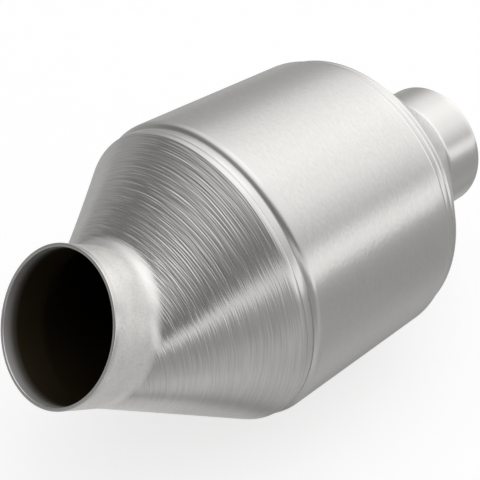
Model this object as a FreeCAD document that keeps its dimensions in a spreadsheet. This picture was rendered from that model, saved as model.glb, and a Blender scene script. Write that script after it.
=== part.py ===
"""Catalytic converter with a one-piece spun shell.

The gas enters through the angled inlet neck, spreads out in the oblique inlet cone, passes the ceramic
honeycomb in the cylindrical body and leaves through the straight outlet cone and neck.

Frame: the body axis is X, the rim of the outlet neck is at x = 0 and the inlet points to -X, tilted
upwards in the XZ plane. Millimetres and degrees.
"""
import FreeCAD, Part
import Sketcher
import math
import os

Vector = FreeCAD.Vector

# Driving dimensions: alias, value, what it is
SIZES = [
    ("brick_diameter", 118.4, "ceramic brick, a standard 4.66 inch round"),
    ("brick_length", 90.0, "ceramic brick, end to end"),
    ("brick_skin", 2.0, "least solid rim of the brick outside its channels"),
    ("cell_pitch", 6.4, "spacing of the channels"),
    ("cell_wall", 0.9, "web between two channels"),
    ("mat_gap", 4.3, "squeezed mat between brick and shell"),
    ("seal_width", 5.0, "each wire-mesh ring, along the axis"),
    ("wall", 1.5, "shell sheet"),
    ("corner_inset", 2.85, "each sharp corner beside the body lies this far inside the brick's end"),
    ("step_height", 1.95, "body above the sharp corner"),
    ("step_run", 1.4, "length of the conical step up to the body"),
    ("edge_round", 3.0, "rounding where the step meets the body"),
    ("band_length", 5.8, "sized band, from the sharp corner to the cone"),
    ("band_drop", 0.25, "cone edge of the band below the sharp corner"),
    ("crease_place", 3.5, "crease between the band's two ridges, from the sharp corner"),
    ("crease_drop", 0.1, "crease below the sharp corner"),
    ("wide_ridge_round", 6.0, "crown of the ridge beside the step"),
    ("thin_ridge_round", 2.2, "crown of the ridge beside the cone"),
    ("pipe_diameter", 57.15, "exhaust pipe that slides into either neck, 2.25 inch"),
    ("slip_clearance", 0.45, "neck bore above the pipe, on the diameter"),
    ("inlet_neck_length", 20.2, "from its root on the cone to its rim"),
    ("inlet_cone_angle", 35.0, "mean slope of the inlet cone against the body axis"),
    ("inlet_rise", 2.8, "root of the inlet neck above the body axis"),
    ("inlet_tilt", 29.5, "inlet neck against the body axis"),
    ("inlet_round", 6.0, "hollow rounding from the cone to the inlet neck"),
    ("outlet_neck_length", 23.1, "from its root on the cone to its rim"),
    ("outlet_cone_angle", 37.5, "slope of the outlet cone against the body axis"),
    ("outlet_round", 6.0, "hollow rounding from the cone to the outlet neck"),
    ("rim_round", 0.4, "broken edges of both rims"),
]

# Radii, from the brick outwards and from the pipe outwards
BRICK_RADIUS = "Sizes.brick_diameter / 2"
BODY_BORE = BRICK_RADIUS + " + Sizes.mat_gap"
BODY_RADIUS = BODY_BORE + " + Sizes.wall"
CORNER_RADIUS = BODY_RADIUS + " - Sizes.step_height"
CREASE_RADIUS = CORNER_RADIUS + " - Sizes.crease_drop"
CONE_RADIUS = CORNER_RADIUS + " - Sizes.band_drop"
NECK_BORE = "(Sizes.pipe_diameter + Sizes.slip_clearance) / 2"
NECK_RADIUS = NECK_BORE + " + Sizes.wall"

# Lengths that follow from the brick and from the slopes of the cones
DROP = "((%s) - (%s))" % (CONE_RADIUS, NECK_RADIUS)
BODY_LENGTH = "(Sizes.brick_length - 2 * Sizes.corner_inset)"
INLET_CONE_LENGTH = DROP + " / tan(Sizes.inlet_cone_angle * 1 deg)"
OUTLET_CONE_LENGTH = DROP + " / tan(Sizes.outlet_cone_angle * 1 deg)"

# Places along the body axis, from the outlet rim to the inlet
OUTLET_ROOT = "-Sizes.outlet_neck_length"
OUTLET_CONE_EDGE = OUTLET_ROOT + " - " + OUTLET_CONE_LENGTH
OUTLET_CORNER = OUTLET_CONE_EDGE + " - Sizes.band_length"
OUTLET_BODY_EDGE = OUTLET_CORNER + " - Sizes.step_run"
BODY_MIDDLE = OUTLET_CORNER + " - " + BODY_LENGTH + " / 2"
INLET_CORNER = OUTLET_CORNER + " - " + BODY_LENGTH
INLET_BODY_EDGE = INLET_CORNER + " + Sizes.step_run"
INLET_CONE_EDGE = INLET_CORNER + " - Sizes.band_length"
INLET_ROOT = INLET_CONE_EDGE + " - " + INLET_CONE_LENGTH

# The inner corners of the sheet lie a little nearer the body's middle than the outer ones
STEP_SHIFT = "Sizes.wall * tan(atan(Sizes.step_height / Sizes.step_run) / 2)"
INLET_SHIFT = "Sizes.wall * tan(Sizes.inlet_cone_angle * 1 deg / 2)"
OUTLET_SHIFT = "Sizes.wall * tan(Sizes.outlet_cone_angle * 1 deg / 2)"
BORE_START = INLET_BODY_EDGE + " + " + STEP_SHIFT
BORE_END = OUTLET_BODY_EDGE + " - " + STEP_SHIFT


def make_sheet():
    """Spreadsheet with one row for each driving dimension."""
    sheet = DOC.addObject("Spreadsheet::Sheet", "Sizes")
    for row, (alias, number, note) in enumerate(SIZES, start=1):
        sheet.set("A%d" % row, alias)
        sheet.set("B%d" % row, str(number))
        sheet.set("C%d" % row, note)
        sheet.setAlias("B%d" % row, alias)
    DOC.recompute()
    return sheet


def value(expression):
    """Number that an expression gives with the sheet's present sizes."""
    result = DOC.getObject("Sizes").evalExpression(expression)
    return float(getattr(result, "Value", result))


def make_body(label):
    """Empty body for one piece; its label is the piece's name."""
    body = DOC.addObject("PartDesign::Body", label)
    body.Label = label
    return body


def add_sketch(body, name, role, along="0", rise="0", tilt="0"):
    """Sketch on one of the body's own planes, moved along the plane's normal, raised and tilted."""
    sketch = body.newObject("Sketcher::SketchObject", name)
    plane = [item for item in body.Origin.OriginFeatures if item.Role == role][0]
    sketch.AttachmentSupport = [(plane, "")]
    sketch.MapMode = "FlatFace"
    sketch.AttachmentOffset = FreeCAD.Placement(Vector(0, 0, 0), FreeCAD.Rotation(Vector(1, 0, 0), 1))
    sketch.setExpression("AttachmentOffset.Base.z", along)
    sketch.setExpression("AttachmentOffset.Base.y", rise)
    sketch.setExpression("AttachmentOffset.Rotation.Angle", tilt)
    DOC.recompute()
    return sketch


def add_circle(sketch, radius):
    """Circle about the sketch's origin with its radius bound to the sheet."""
    circle = Part.Circle(Vector(0, 0, 0), Vector(0, 0, 1), value(radius))
    index = sketch.addGeometry(circle, False)
    sketch.addConstraint(Sketcher.Constraint("Coincident", index, 3, -1, 1))
    bound = sketch.addConstraint(Sketcher.Constraint("Radius", index, value(radius)))
    sketch.setExpression("Constraints[%d]" % bound, radius)


def crowned_arc(start, end, radius):
    """Arc that bulges away from the axis, between two points of a profile that runs to +X."""
    chord = end - start
    depth = math.sqrt(radius ** 2 - (chord.Length / 2) ** 2)
    inward = Vector(chord.y, -chord.x, 0).normalize()
    centre = (start + end) / 2 + inward * depth
    first = math.atan2(end.y - centre.y, end.x - centre.x)
    last = math.atan2(start.y - centre.y, start.x - centre.x)
    return Part.ArcOfCircle(Part.Circle(centre, Vector(0, 0, 1), radius), first, last)


def add_profile(sketch, corners):
    """Closed half profile above the axis. Each corner is (x, radius, crown): both places are bound to
    the sheet, and crown is the radius of the arc that leads on to the next corner, or None for a line."""
    points = [Vector(value(x), value(r), 0) for x, r, _ in corners]
    ends = []
    for number, (_, _, crown) in enumerate(corners):
        start = points[number]
        end = points[(number + 1) % len(points)]
        if crown:
            index = sketch.addGeometry(crowned_arc(start, end, value(crown)), False)
            ends.append((index, 2, 1))
            bound = sketch.addConstraint(Sketcher.Constraint("Radius", index, value(crown)))
            sketch.setExpression("Constraints[%d]" % bound, crown)
        else:
            index = sketch.addGeometry(Part.LineSegment(start, end), False)
            ends.append((index, 1, 2))
    for number, (x, r, _) in enumerate(corners):
        index, first, _ = ends[number]
        before, _, last = ends[number - 1]
        sketch.addConstraint(Sketcher.Constraint("Coincident", before, last, index, first))
        for kind, place in (("DistanceX", x), ("DistanceY", r)):
            limit = Sketcher.Constraint(kind, -1, 1, index, first, value(place))
            bound = sketch.addConstraint(limit)
            sketch.setExpression("Constraints[%d]" % bound, place)
    DOC.recompute()


def turn(body, kind, name, sketch):
    """Full turn of a profile round the body axis, added or cut away."""
    feature = body.newObject("PartDesign::" + kind, name)
    feature.Profile = sketch
    feature.ReferenceAxis = (sketch, ["H_Axis"])
    feature.Angle = 360
    DOC.recompute()
    return feature


def loft(body, kind, name, first, last):
    """Straight-sided loft between two sketches, added or cut away."""
    feature = body.newObject("PartDesign::" + kind, name)
    feature.Profile = first
    feature.Sections = [last]
    feature.Ruled = True
    DOC.recompute()
    return feature


def extrude(body, kind, name, sketch, length, backwards=False):
    """Pad or pocket of a sketch over a length that is bound to the sheet."""
    feature = body.newObject("PartDesign::" + kind, name)
    feature.Profile = sketch
    feature.Reversed = backwards
    feature.setExpression("Length", length)
    DOC.recompute()
    return feature


def edges_of_circle(shape, centre, radius):
    """Names of the edges that lie on the circle with this centre and radius."""
    found = []
    for number, edge in enumerate(shape.Edges, start=1):
        curve = edge.Curve
        if isinstance(curve, Part.Circle) and abs(curve.Radius - radius) < 0.01:
            if (curve.Center - centre).Length < 0.01:
                found.append("Edge%d" % number)
    if not found:
        raise ValueError("no edge at %s with radius %.2f" % (centre, radius))
    return found


def round_circles(body, name, circles, radius):
    """Rounding, with one radius, of every edge that lies on one of the circles."""
    base = body.Tip
    names = []
    for centre, circle_radius in circles:
        names += edges_of_circle(base.Shape, centre, circle_radius)
    feature = body.newObject("PartDesign::Fillet", name)
    feature.Base = (base, names)
    feature.setExpression("Radius", radius)
    DOC.recompute()
    return feature


def on_axis(place):
    """Point of the body axis at a place that is given by an expression."""
    return Vector(value(place), 0, 0)


def on_inlet_axis(distance):
    """Point of the inlet neck's axis, this far outside the neck's root."""
    tilt = math.radians(value("Sizes.inlet_tilt"))
    root = Vector(value(INLET_ROOT), 0, value("Sizes.inlet_rise"))
    return root + Vector(-math.cos(tilt), 0, math.sin(tilt)) * distance


def make_shell():
    """Stainless tube, spun down at both ends: the outside first, then the space inside it."""
    body = make_body("converter_shell")
    outer = add_sketch(body, "outer_profile", "XZ_Plane")
    add_profile(outer, [
        (INLET_CONE_EDGE, "0", None),
        (INLET_CONE_EDGE, CONE_RADIUS, "Sizes.thin_ridge_round"),
        (INLET_CORNER + " - Sizes.crease_place", CREASE_RADIUS, "Sizes.wide_ridge_round"),
        (INLET_CORNER, CORNER_RADIUS, None),
        (INLET_BODY_EDGE, BODY_RADIUS, None),
        (OUTLET_BODY_EDGE, BODY_RADIUS, None),
        (OUTLET_CORNER, CORNER_RADIUS, "Sizes.wide_ridge_round"),
        (OUTLET_CORNER + " + Sizes.crease_place", CREASE_RADIUS, "Sizes.thin_ridge_round"),
        (OUTLET_CONE_EDGE, CONE_RADIUS, None),
        (OUTLET_ROOT, NECK_RADIUS, None),
        ("0", NECK_RADIUS, None),
        ("0", "0", None),
    ])
    turn(body, "Revolution", "body_and_outlet", outer)

    edge = add_sketch(body, "inlet_cone_edge", "YZ_Plane", INLET_CONE_EDGE)
    add_circle(edge, CONE_RADIUS)
    root = add_sketch(body, "inlet_neck_root", "YZ_Plane", INLET_ROOT, "Sizes.inlet_rise",
                      "Sizes.inlet_tilt")
    add_circle(root, NECK_RADIUS)
    loft(body, "AdditiveLoft", "inlet_cone", edge, root)
    neck = add_sketch(body, "inlet_neck_section", "YZ_Plane", INLET_ROOT, "Sizes.inlet_rise",
                      "Sizes.inlet_tilt")
    add_circle(neck, NECK_RADIUS)
    extrude(body, "Pad", "inlet_neck", neck, "Sizes.inlet_neck_length", backwards=True)

    neck_radius = value(NECK_RADIUS)
    body_radius = value(BODY_RADIUS)
    round_circles(body, "inlet_hollow", [(on_inlet_axis(0), neck_radius)], "Sizes.inlet_round")
    round_circles(body, "outlet_hollow", [(on_axis(OUTLET_ROOT), neck_radius)], "Sizes.outlet_round")
    round_circles(body, "body_edges", [
        (on_axis(INLET_BODY_EDGE), body_radius),
        (on_axis(OUTLET_BODY_EDGE), body_radius),
    ], "Sizes.edge_round")

    inner = add_sketch(body, "inner_profile", "XZ_Plane")
    inlet_edge = INLET_CONE_EDGE + " + " + INLET_SHIFT
    outlet_edge = OUTLET_CONE_EDGE + " - " + OUTLET_SHIFT
    outlet_root = OUTLET_ROOT + " - " + OUTLET_SHIFT
    add_profile(inner, [
        (inlet_edge, "0", None),
        (inlet_edge, CONE_RADIUS + " - Sizes.wall", None),
        (INLET_CORNER + " + " + STEP_SHIFT, CORNER_RADIUS + " - Sizes.wall", None),
        (BORE_START, BODY_BORE, None),
        (BORE_END, BODY_BORE, None),
        (OUTLET_CORNER + " - " + STEP_SHIFT, CORNER_RADIUS + " - Sizes.wall", None),
        (outlet_edge, CONE_RADIUS + " - Sizes.wall", None),
        (outlet_root, NECK_BORE, None),
        ("0", NECK_BORE, None),
        ("0", "0", None),
    ])
    turn(body, "Groove", "body_and_outlet_space", inner)

    inner_edge = add_sketch(body, "inlet_cone_inner_edge", "YZ_Plane", inlet_edge)
    add_circle(inner_edge, CONE_RADIUS + " - Sizes.wall")
    shifted_x = INLET_ROOT + " + cos(Sizes.inlet_tilt * 1 deg) * " + INLET_SHIFT
    shifted_z = "Sizes.inlet_rise - sin(Sizes.inlet_tilt * 1 deg) * " + INLET_SHIFT
    inner_root = add_sketch(body, "inlet_neck_inner_root", "YZ_Plane", shifted_x, shifted_z,
                            "Sizes.inlet_tilt")
    add_circle(inner_root, NECK_BORE)
    loft(body, "SubtractiveLoft", "inlet_cone_space", inner_edge, inner_root)
    bore = add_sketch(body, "inlet_bore_section", "YZ_Plane", shifted_x, shifted_z, "Sizes.inlet_tilt")
    add_circle(bore, NECK_BORE)
    extrude(body, "Pocket", "inlet_bore", bore, "Sizes.inlet_neck_length + 2 * Sizes.wall")

    bore_radius = value(NECK_BORE)
    inner_root_centre = on_inlet_axis(-value(INLET_SHIFT))
    round_circles(body, "inlet_inner_round", [(inner_root_centre, bore_radius)],
                  "Sizes.inlet_round + Sizes.wall")
    round_circles(body, "outlet_inner_round", [(on_axis(outlet_root), bore_radius)],
                  "Sizes.outlet_round + Sizes.wall")
    inlet_rim = on_inlet_axis(value("Sizes.inlet_neck_length"))
    outlet_rim = Vector(0, 0, 0)
    round_circles(body, "rim_edges", [
        (inlet_rim, neck_radius),
        (inlet_rim, bore_radius),
        (outlet_rim, neck_radius),
        (outlet_rim, bore_radius),
    ], "Sizes.rim_round")
    return body


def channel_centres():
    """Places of the square channels that leave the brick's rim solid."""
    pitch = value("Sizes.cell_pitch")
    half = (pitch - value("Sizes.cell_wall")) / 2
    reach = value(BRICK_RADIUS) - value("Sizes.brick_skin")
    count = int(reach / pitch)
    for row in range(-count, count + 1):
        for column in range(-count, count + 1):
            corner = math.hypot(abs(column) * pitch + half, abs(row) * pitch + half)
            if corner <= reach:
                yield column * pitch, row * pitch, half


def make_monolith():
    """Round ceramic brick with straight square channels from face to face."""
    body = make_body("monolith")
    face = add_sketch(body, "brick_section", "YZ_Plane", BODY_MIDDLE + " - Sizes.brick_length / 2")
    add_circle(face, BRICK_RADIUS)
    extrude(body, "Pad", "brick", face, "Sizes.brick_length")
    grid = add_sketch(body, "channel_grid", "YZ_Plane", BODY_MIDDLE + " + Sizes.brick_length / 2")
    lines = []
    for across, up, half in channel_centres():
        corners = []
        for i, j in ((-1, -1), (1, -1), (1, 1), (-1, 1)):
            corners.append(Vector(across + i * half, up + j * half, 0))
        for number in range(4):
            lines.append(Part.LineSegment(corners[number], corners[(number + 1) % 4]))
    grid.addGeometry(lines, False)
    extrude(body, "Pocket", "channels", grid, "Sizes.brick_length")
    return body


def make_ring(label, start, length):
    """Plain ring that fills the gap between the brick and the shell."""
    body = make_body(label)
    section = add_sketch(body, label + "_section", "YZ_Plane", start)
    add_circle(section, BODY_BORE)
    add_circle(section, BRICK_RADIUS)
    extrude(body, "Pad", label + "_ring", section, length)
    return body


def check(bodies):
    """Stop if any object failed or any piece has no sound shape."""
    for item in DOC.Objects:
        if "Invalid" in item.State or "Error" in item.State:
            raise RuntimeError("%s failed: %s" % (item.Label, item.State))
    for body in bodies:
        shape = body.Shape
        if shape.isNull() or not shape.isValid() or len(shape.Solids) != 1:
            raise RuntimeError("%s has no sound single solid" % body.Label)
        print("%-18s volume %10.1f mm3, %d faces" % (body.Label, shape.Volume, len(shape.Faces)))


def main():
    make_sheet()
    bodies = [
        make_shell(),
        make_monolith(),
        make_ring("inlet_seal_ring", BORE_START, "Sizes.seal_width"),
        make_ring("support_mat", BORE_START + " + Sizes.seal_width",
                  "(%s) - (%s) - 2 * Sizes.seal_width" % (BORE_END, BORE_START)),
        make_ring("outlet_seal_ring", BORE_END + " - Sizes.seal_width", "Sizes.seal_width"),
    ]
    DOC.recompute()
    check(bodies)
    os.makedirs("parts", exist_ok=True)
    for body in bodies:
        body.Shape.exportStep("parts/%s.step" % body.Label)


DOC = FreeCAD.newDocument("CatalyticConverter")
main()
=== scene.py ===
"""Looks of the catalytic converter: the spun shell with its spinning marks, the honeycomb brick, the knitted
wire rings and the mat, on a pale studio floor. Metres, in the frame of the CAD part: the body axis is X, the
outlet rim is at x = 0 and the inlet neck points to -X, tilted upwards.
"""
import math

import bmesh
import bpy
import numpy as np
from bpy.props import FloatProperty, FloatVectorProperty, IntProperty, PointerProperty
from bpy.types import NodeSocket, Operator, Panel, PropertyGroup, Scene
from mathutils import Matrix, Vector


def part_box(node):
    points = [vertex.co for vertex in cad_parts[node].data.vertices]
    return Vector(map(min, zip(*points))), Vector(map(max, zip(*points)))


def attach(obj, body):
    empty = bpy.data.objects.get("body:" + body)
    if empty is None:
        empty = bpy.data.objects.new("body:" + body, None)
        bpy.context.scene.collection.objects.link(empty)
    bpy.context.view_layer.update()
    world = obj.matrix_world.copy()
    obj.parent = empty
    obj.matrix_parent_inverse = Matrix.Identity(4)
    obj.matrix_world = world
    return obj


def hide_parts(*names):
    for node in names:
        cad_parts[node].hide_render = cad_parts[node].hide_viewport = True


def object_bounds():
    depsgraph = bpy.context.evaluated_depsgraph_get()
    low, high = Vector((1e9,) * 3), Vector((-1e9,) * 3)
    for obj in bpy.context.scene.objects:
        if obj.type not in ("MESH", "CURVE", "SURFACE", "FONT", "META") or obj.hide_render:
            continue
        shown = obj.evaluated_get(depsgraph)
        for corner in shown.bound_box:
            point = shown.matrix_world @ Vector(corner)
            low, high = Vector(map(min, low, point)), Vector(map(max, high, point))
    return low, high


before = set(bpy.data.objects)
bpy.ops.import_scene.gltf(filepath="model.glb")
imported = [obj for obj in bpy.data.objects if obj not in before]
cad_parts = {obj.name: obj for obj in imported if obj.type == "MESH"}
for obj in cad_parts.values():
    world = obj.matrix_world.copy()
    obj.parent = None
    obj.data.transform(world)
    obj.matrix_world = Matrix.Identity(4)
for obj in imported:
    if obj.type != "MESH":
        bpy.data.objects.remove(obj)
CAD_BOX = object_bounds()
SHELL_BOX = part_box("converter_shell")
BRICK_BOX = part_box("monolith")
BODY_RADIUS = SHELL_BOX[1].y
BRICK_RADIUS = BRICK_BOX[1].y
MM = 0.001

# Steps of the arcs, and distances between rings of points where the surface is plain
ARC_STEPS = 8
RIM_STEPS = 3
NECK_STEPS = 8
NECK_SPACING = 3 * MM
INSIDE_SPACING = 4 * MM
BODY_SPACING = 8 * MM
BORE_SPACING = 10 * MM
BODY_MARGIN = 2 * MM

# Share of the inlet neck's inside at which the painted shade gives way to the honed edge, and the share that
# this takes
UNSHADED_START = 0.7
UNSHADED_FADE = 0.2

# Spinning marks: waves in one turn, share of the marks that are even all round, and the seed
GROOVE_WAVES = 10
GROOVE_EVEN = 0.6
GROOVE_SEED = 11

# What each point of the shell has a share of: spinning marks, painted shade inside, satin neck, honed edge
SURFACES = ("marks", "dark", "satin", "honed")

bl_info = {
    "name": "Catalytic converter",
    "version": (1, 0, 0),
    "blender": (4, 5, 0),
    "location": "3D View > Sidebar > Converter",
    "description": "Builds the visible surfaces of a catalytic converter round its CAD frame",
    "category": "Object",
}


def decimal(name, default, description, **settings):
    """Property for a decimal number."""
    return FloatProperty(name=name, default=default, description=description, **settings)


def whole(name, default, description, **limits):
    """Property for a whole number."""
    return IntProperty(name=name, default=default, description=description, **limits)


def length(name, default, description):
    """Property for a length in metres."""
    return decimal(name, default, description, min=0.0, precision=5, subtype="DISTANCE", unit="LENGTH")


def angle(name, degrees, description):
    """Property for an angle."""
    return decimal(name, math.radians(degrees), description, subtype="ANGLE", unit="ROTATION")


def colour(name, default, description):
    """Property for a colour."""
    return FloatVectorProperty(name=name, default=default, description=description, subtype="COLOR",
                               size=3, min=0.0, max=1.0)


class ShellSizes(PropertyGroup):
    """Sizes of the spun shell."""
    wall: length("Sheet", 1.5 * MM, "Thickness of the shell")
    step_height: length("Step height", 1.95 * MM, "Body above the sharp corner beside it")
    step_run: length("Step run", 1.4 * MM, "Length of the conical step")
    edge_round: length("Edge rounding", 3.0 * MM, "Rounding where the step meets the body")
    corner_inset: length("Corner inset", 2.85 * MM, "Each sharp corner lies this far inside the brick's end")
    band_length: length("Band", 5.8 * MM, "Sized band, from the sharp corner to the cone")
    band_drop: length("Band drop", 0.25 * MM, "Cone edge of the band below the sharp corner")
    crease_place: length("Crease", 3.5 * MM, "Crease between the two ridges, from the sharp corner")
    crease_drop: length("Crease drop", 0.1 * MM, "Crease below the sharp corner")
    wide_ridge_round: length("Wide ridge", 6.0 * MM, "Crown of the ridge beside the step")
    thin_ridge_round: length("Thin ridge", 2.2 * MM, "Crown of the ridge beside the cone")
    neck_bore: length("Neck bore", 28.8 * MM, "Radius of the bore of both necks")
    inlet_neck: length("Inlet neck", 20.2 * MM, "From its root to its rim")
    inlet_cone_angle: angle("Inlet cone", 35.0, "Mean slope of the inlet cone")
    inlet_rise: length("Inlet rise", 2.8 * MM, "Root of the inlet neck above the axis")
    inlet_tilt: angle("Inlet tilt", 29.5, "Inlet neck against the body axis")
    outlet_cone_angle: angle("Outlet cone", 37.5, "Slope of the outlet cone")
    neck_round: length("Hollow", 6.0 * MM, "Hollow rounding between cone and neck")
    rim_round: length("Rim edge", 0.4 * MM, "Broken edges of both rims")
    groove_spacing: length("Groove spacing", 0.8 * MM, "Least distance between two spinning marks")
    groove_depth: length("Groove depth", 0.004 * MM, "Depth of the spinning marks")
    ring_spacing: length("Ring spacing", 0.36 * MM, "Between the rings of points on the cones")
    around: whole("Around", 208, "Points on each ring of the shell", min=48, max=512)


class SteelFinish(PropertyGroup):
    """Finish of the stainless sheet."""
    tint: colour("Steel", (0.520, 0.512, 0.499), "Colour of the brushed sheet")
    # Painted shade: the dark brown inside colour stands in for the shade within the shell
    inside: colour("Inside", (0.047, 0.036, 0.020), "Colour of the dark inner surface of the cones")
    roughness: decimal("Roughness", 0.25, "Roughness of the brushed sheet", min=0.0, max=1.0)
    anisotropy: decimal("Anisotropy", 0.6, "How far the grain stretches a highlight", min=0.0, max=1.0)


class BrickSizes(PropertyGroup):
    """Sizes and colours of the coated honeycomb brick."""
    pitch: length("Channel spacing", 1.8 * MM, "From one channel to the next")
    web: length("Web", 0.3 * MM, "Coated wall between two channels")
    skin: length("Skin", 0.9 * MM, "Least solid rim outside the channels")
    coat: colour("Coat", (0.105, 0.078, 0.058), "Colour of the catalytic coat")
    around: whole("Around", 144, "Points on the round outside", min=32, max=512)


class PackingSizes(PropertyGroup):
    """Sizes and colours of the wire rings and the mat round the brick."""
    wire: length("Wire", 0.12 * MM, "Radius of the knitted wire")
    loops: whole("Loops", 96, "Loops in one turn of wire", min=12, max=400)
    rows: whole("Rows", 4, "Turns of wire side by side", min=1, max=20)
    layers: whole("Layers", 3, "Turns of wire above each other", min=1, max=12)
    wire_tint: colour("Wire colour", (0.42, 0.40, 0.37), "Colour of the stainless wire")
    fibre: colour("Fibre", (0.58, 0.52, 0.42), "Colour of the fibre mat")
    flake: colour("Flake", (0.24, 0.17, 0.09), "Colour of the mineral flakes in the mat")


class Places:
    """Radii and places along the axis, worked out from the sizes and the frame."""

    def __init__(self, s):
        self.bore = BODY_RADIUS - s.wall
        self.corner = BODY_RADIUS - s.step_height
        self.crease = self.corner - s.crease_drop
        self.cone = self.corner - s.band_drop
        self.neck = s.neck_bore + s.wall
        drop = self.cone - self.neck
        self.inlet_corner = BRICK_BOX[0].x + s.corner_inset
        self.outlet_corner = BRICK_BOX[1].x - s.corner_inset
        self.inlet_edge = self.inlet_corner - s.band_length
        self.outlet_edge = self.outlet_corner + s.band_length
        self.inlet_root = self.inlet_edge - drop / math.tan(s.inlet_cone_angle)
        self.outlet_root = self.outlet_edge + drop / math.tan(s.outlet_cone_angle)
        self.step_shift = s.wall * math.tan(math.atan(s.step_height / s.step_run) / 2)
        self.inlet_shift = s.wall * math.tan(s.inlet_cone_angle / 2)
        self.outlet_shift = s.wall * math.tan(s.outlet_cone_angle / 2)


def arc(centre, start, end, steps):
    """Points of an arc about a centre, both ends included."""
    first = start - centre
    turn = first.angle_signed(end - centre)
    return [centre + Matrix.Rotation(-turn * number / steps, 2) @ first for number in range(steps + 1)]


def crowned(start, end, radius):
    """Points of an arc that bulges away from the axis, without its last point."""
    start, end = Vector(start), Vector(end)
    chord = end - start
    side = Vector((chord.y, -chord.x)).normalized()
    if side.y > 0:
        side = -side
    centre = (start + end) / 2 + side * math.sqrt(radius ** 2 - (chord.length / 2) ** 2)
    return arc(centre, start, end, ARC_STEPS)[:-1]


def rounded(before, corner, after, radius, steps=ARC_STEPS):
    """Points of a rounded corner, both tangent points included."""
    before, corner, after = Vector(before), Vector(corner), Vector(after)
    one, two = (before - corner).normalized(), (after - corner).normalized()
    half = one.angle(two) / 2
    centre = corner + (one + two).normalized() * radius / math.sin(half)
    reach = radius / math.tan(half)
    return arc(centre, corner + one * reach, corner + two * reach, steps)


def between(start, end, spacing):
    """Points on a straight run, without its two ends."""
    start, end = Vector(start), Vector(end)
    count = max(1, round((end - start).length / spacing))
    return [start.lerp(end, number / count) for number in range(1, count)]


class Rings:
    """Rings of points that a closed skin is stretched over, each with its distance along the sheet,
    its share of each surface and whether it is a sharp edge."""

    def __init__(self, around):
        self.bearings = np.arange(around) * 2 * np.pi / around
        self.points = []
        self.along = []
        self.sharp = []
        self.shares = {label: [] for label in SURFACES}

    def add(self, points, sharp=False, **shares):
        """One ring, given as an array of points."""
        step = 0.0
        if self.points:
            step = float(np.linalg.norm(points - self.points[-1], axis=1).mean())
        self.along.append(self.along[-1] + step if self.along else 0.0)
        self.points.append(points)
        self.sharp.append(sharp)
        for label, values in self.shares.items():
            values.append(shares.get(label, 0.0))

    def circle(self, x, r, **settings):
        """Ring about the body axis."""
        a = self.bearings
        self.add(np.stack([np.full_like(a, x), r * np.sin(a), r * np.cos(a)], 1), **settings)

    def circles(self, profile, **settings):
        """Rings about the body axis, one for each point of a profile."""
        for x, r in profile:
            self.circle(x, r, **settings)


def tilted_circle(bearings, centre, along, tilt, radius):
    """Circle of the inlet neck, this far along its axis from the centre."""
    axis = np.array([-math.cos(tilt), 0, math.sin(tilt)])
    across = np.array([0, 1, 0])
    up = np.array([math.sin(tilt), 0, math.cos(tilt)])
    middle = np.array(centre) + axis * along
    return middle + radius * (np.outer(np.sin(bearings), across) + np.outer(np.cos(bearings), up))


def neck_rings(edge, root, tilt, end, hollow, spacing, to_rim):
    """Rings from the coaxial edge circle of the inlet cone, through the rounding, to the end of the neck,
    each with its part of the surface and its share of that part. They run back where to_rim is false."""
    axis = np.array([-math.cos(tilt), 0, math.sin(tilt)])
    rulings = edge - root
    lengths = np.linalg.norm(rulings, axis=1)
    towards = rulings / lengths[:, None]
    half = np.arccos(np.clip(towards @ axis, -1, 1)) / 2
    reach = hollow / np.tan(half)
    middle = towards + axis
    middle /= np.linalg.norm(middle, axis=1)[:, None]
    arc_centre = root + middle * (hollow / np.sin(half))[:, None]
    first = root + towards * reach[:, None] - arc_centre
    last = root + axis * reach[:, None] - arc_centre
    turn = np.pi - 2 * half
    share = 1 - reach / lengths
    runs = []
    count = max(1, round(float(lengths.mean()) / spacing))
    for number in range(1, count + 1):
        part = number / count
        runs.append((edge - rulings * (share * part)[:, None], "cone", part))
    for number in range(1, ARC_STEPS):
        part = number / ARC_STEPS
        weight_one = np.sin((1 - part) * turn) / np.sin(turn)
        weight_two = np.sin(part * turn) / np.sin(turn)
        bend = first * weight_one[:, None] + last * weight_two[:, None]
        runs.append((arc_centre + bend, "hollow", part))
    for number in range(NECK_STEPS + 1):
        part = number / NECK_STEPS
        away = reach + (end - reach) * part
        runs.append((root + axis * away[:, None], "neck", part))
    if not to_rim:
        runs.reverse()
    return runs


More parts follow.
